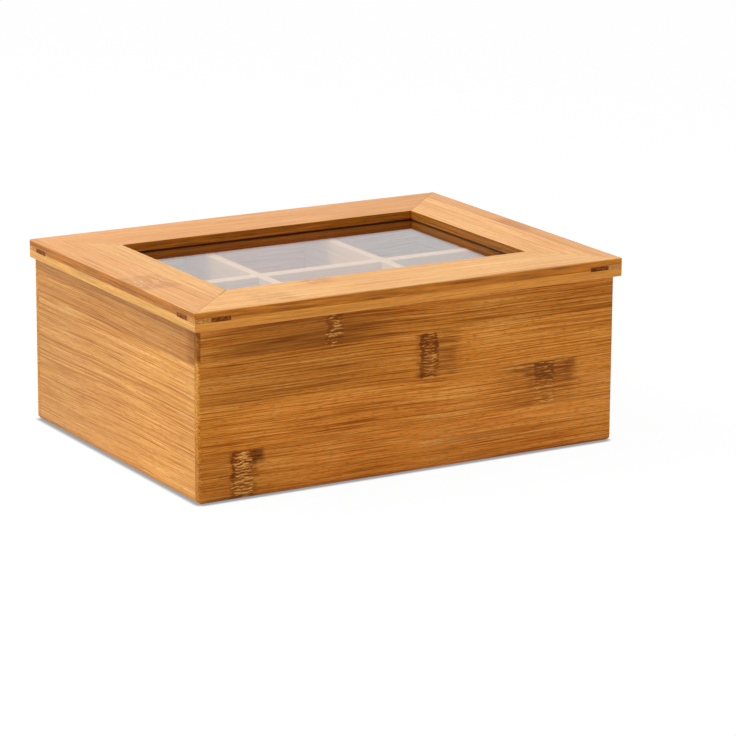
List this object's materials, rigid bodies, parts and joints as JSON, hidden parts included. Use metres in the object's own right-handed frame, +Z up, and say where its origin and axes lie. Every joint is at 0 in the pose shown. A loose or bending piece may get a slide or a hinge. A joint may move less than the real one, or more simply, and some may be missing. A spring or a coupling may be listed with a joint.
{
  "type": "tea bag organizer box",
  "caption": "Bamboo organizer box with a divided inside and a hinged lid: a keyed, mitred frame round a glass window.",
  "frame": {"origin": "centre of the box's base, on the surface it stands on", "axes": "+X right along the front, +Y back towards the hinges, +Z up"},
  "size_m": [0.215, 0.1678, 0.085],
  "materials": {
    "bamboo_face": "satin lacquered caramel bamboo, strips lying along the board",
    "bamboo_side": "satin lacquered caramel bamboo, strips lying along the board",
    "bamboo_lid": "satin lacquered bamboo, two layers showing at the edge",
    "bamboo_inside": "pale sanded bamboo",
    "bamboo_key": "dark bamboo end grain, sanded flush",
    "window_glass": "clear polished glass",
    "hinge_metal": "satin brass",
    "screw_metal": "satin brass"
  },
  "bodies": {
    "box": {"front_board": "bamboo_face", "back_board": "bamboo_face", "left_board": "bamboo_side", "right_board": "bamboo_side", "bottom_panel": "bamboo_inside", "long_divider": "bamboo_inside", "left_cross_divider": "bamboo_inside", "right_cross_divider": "bamboo_inside", "left_hinge_box_leaf": "hinge_metal", "left_hinge_pin": "hinge_metal", "right_hinge_box_leaf": "hinge_metal", "right_hinge_pin": "hinge_metal", "box_leaf_screws": "screw_metal"},
    "lid": {"lid_front_rail": "bamboo_lid", "lid_back_rail": "bamboo_lid", "lid_left_rail": "bamboo_lid", "lid_right_rail": "bamboo_lid", "front_left_key": "bamboo_key", "front_right_key": "bamboo_key", "back_left_key": "bamboo_key", "back_right_key": "bamboo_key", "window_pane": "window_glass", "left_hinge_lid_leaf": "hinge_metal", "right_hinge_lid_leaf": "hinge_metal", "lid_leaf_screws": "screw_metal"}
  },
  "joints": [
    {"name": "lid_hinge", "type": "hinge", "parent": "box", "child": "lid", "pos_m": [0, 0.08225, 0.0765], "axis": [-1, 0, 0], "range_deg": [0, 100]}
  ]
}
